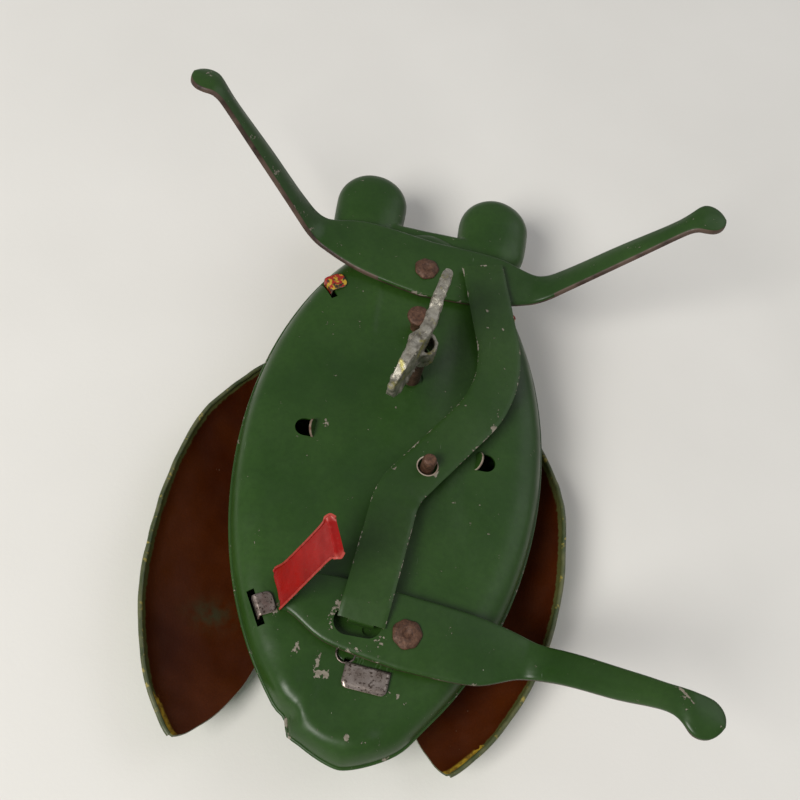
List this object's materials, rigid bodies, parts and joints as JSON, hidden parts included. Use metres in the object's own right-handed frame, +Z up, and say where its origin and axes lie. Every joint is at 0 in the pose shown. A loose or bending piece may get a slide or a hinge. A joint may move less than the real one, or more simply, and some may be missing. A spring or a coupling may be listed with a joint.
{
  "type": "wind-up tin walking beetle",
  "caption": "Clockwork tin beetle toy lying on its back: key, crank and crooked link swing two leg strips, and a cam spreads the wing covers.",
  "frame": {"origin": "on the surface the toy lies on, under the middle of its box", "axes": "+Z up out of the belly, as the toy lies on its back; +Y towards the head; +X to the right of the belly seen from above with the head away"},
  "size_m": [0.099, 0.1144, 0.0425],
  "materials": {
    "green_paint": "worn gloss paint",
    "leg_paint": "worn gloss paint, red on the upper side",
    "back_print": "printed tinplate under clear varnish",
    "wing_print": "printed tinplate, red-brown varnish inside",
    "rusty_steel": "rusted steel",
    "cast_key": "dull cast metal with yellow stains",
    "gear_brass": "pressed brass",
    "spring_steel": "blued spring steel",
    "plain_steel": "plain steel"
  },
  "bodies": {
    "shell": {"belly_pan": "green_paint", "back_shell": "back_print", "left_wing_rivet": "rusty_steel", "right_wing_rivet": "rusty_steel", "front_leg_rivet": "rusty_steel", "front_leg_washer": "plain_steel", "rear_leg_rivet": "rusty_steel", "rear_leg_washer": "plain_steel", "mainspring": "spring_steel", "spring_post": "plain_steel", "belly_plate": "plain_steel", "back_plate": "plain_steel", "frame_posts": "plain_steel", "frame_rivet": "rusty_steel"},
    "front_legs": {"front_legs": "leg_paint"},
    "rear_legs": {"rear_legs": "leg_paint"},
    "link": {"connecting_link": "green_paint"},
    "crank": {"crank_disc": "plain_steel", "crank_pin": "rusty_steel", "crank_arbor": "plain_steel", "crank_pinion": "plain_steel", "crank_wheel": "gear_brass", "wing_cam": "gear_brass"},
    "wing_slider": {"wing_slider": "plain_steel"},
    "left_wing": {"left_wing": "wing_print"},
    "right_wing": {"right_wing": "wing_print"},
    "key": {"winding_key": "cast_key", "winding_arbor": "plain_steel", "ratchet_wheel": "gear_brass"},
    "great_wheel": {"great_wheel": "gear_brass", "click_stud": "plain_steel"},
    "click": {"click": "plain_steel"},
    "second_wheel": {"second_arbor": "plain_steel", "second_pinion": "plain_steel", "second_wheel": "gear_brass"},
    "fly": {"fly_pinion": "plain_steel", "fly_blade": "plain_steel"}
  },
  "joints": [
    {"name": "crank_turn", "type": "hinge", "parent": "shell", "child": "crank", "pos_m": [0.00209, -0.00726, 0.02149], "axis": [0, 0, 1], "range_deg": [-75, 75]},
    {"name": "link_pivot", "type": "hinge", "parent": "crank", "child": "link", "pos_m": [0.00409, -0.00726, 0.02149], "axis": [0, 0, 1], "range_deg": [-75, 75]},
    {"name": "front_legs_swing", "type": "hinge", "parent": "shell", "child": "front_legs", "pos_m": [-0.00161, 0.03354, 0.01959], "axis": [0, 0, 1], "range_deg": [-12, 12]},
    {"name": "rear_legs_swing", "type": "hinge", "parent": "shell", "child": "rear_legs", "pos_m": [0.00509, -0.03637, 0.01959], "axis": [0, 0, 1], "range_deg": [-15, 15]},
    {"name": "left_wing_spread", "type": "hinge", "parent": "shell", "child": "left_wing", "pos_m": [-0.00861, 0.02763, 0.00409], "axis": [0, 0, 1], "range_deg": [-8.7, 8.7]},
    {"name": "right_wing_spread", "type": "hinge", "parent": "shell", "child": "right_wing", "pos_m": [0.00539, 0.02763, 0.00409], "axis": [0, 0, 1], "range_deg": [-8.7, 8.7]},
    {"name": "wing_slide", "type": "slide", "parent": "shell", "child": "wing_slider", "axis": [0, 1, 0], "range_m": [-0.0005, 0.0005]},
    {"name": "second_wheel_spin", "type": "hinge", "parent": "shell", "child": "second_wheel", "pos_m": [0.00668, 0.00169, 0.01069], "axis": [0, 0, 1], "range_deg": [-20, 20]},
    {"name": "great_wheel_spin", "type": "hinge", "parent": "shell", "child": "great_wheel", "pos_m": [-0.00081, 0.01114, 0.01289], "axis": [0, 0, 1], "range_deg": [-5, 5]},
    {"name": "fly_spin", "type": "hinge", "parent": "shell", "child": "fly", "pos_m": [-0.00409, -0.01244, 0.00829], "axis": [0, 0, 1], "range_deg": [-230, 230]},
    {"name": "key_wind", "type": "hinge", "parent": "shell", "child": "key", "pos_m": [-0.00081, 0.01114, 0.02649], "axis": [0, 0, 1], "continuous": true},
    {"name": "click_lift", "type": "hinge", "parent": "great_wheel", "child": "click", "pos_m": [0.00559, 0.01453, 0.01179], "axis": [0, 0, 1], "range_deg": [-12, 0], "stiffness_Nm_per_rad": 0.00001, "springref_deg": 5.73}
  ],
  "couplings": [
    {"joint": "link_pivot", "follows": "crank_turn", "ratio": -1},
    {"joint": "front_legs_swing", "follows": "crank_turn", "ratio": 0.1419},
    {"joint": "rear_legs_swing", "follows": "crank_turn", "ratio": -0.1942},
    {"joint": "left_wing_spread", "follows": "crank_turn", "ratio": -0.11},
    {"joint": "right_wing_spread", "follows": "crank_turn", "ratio": 0.11},
    {"joint": "wing_slide", "follows": "crank_turn", "m_per_rad": -0.00033},
    {"joint": "second_wheel_spin", "follows": "crank_turn", "ratio": -0.25},
    {"joint": "great_wheel_spin", "follows": "crank_turn", "ratio": 0.0625},
    {"joint": "fly_spin", "follows": "crank_turn", "ratio": -3}
  ]
}
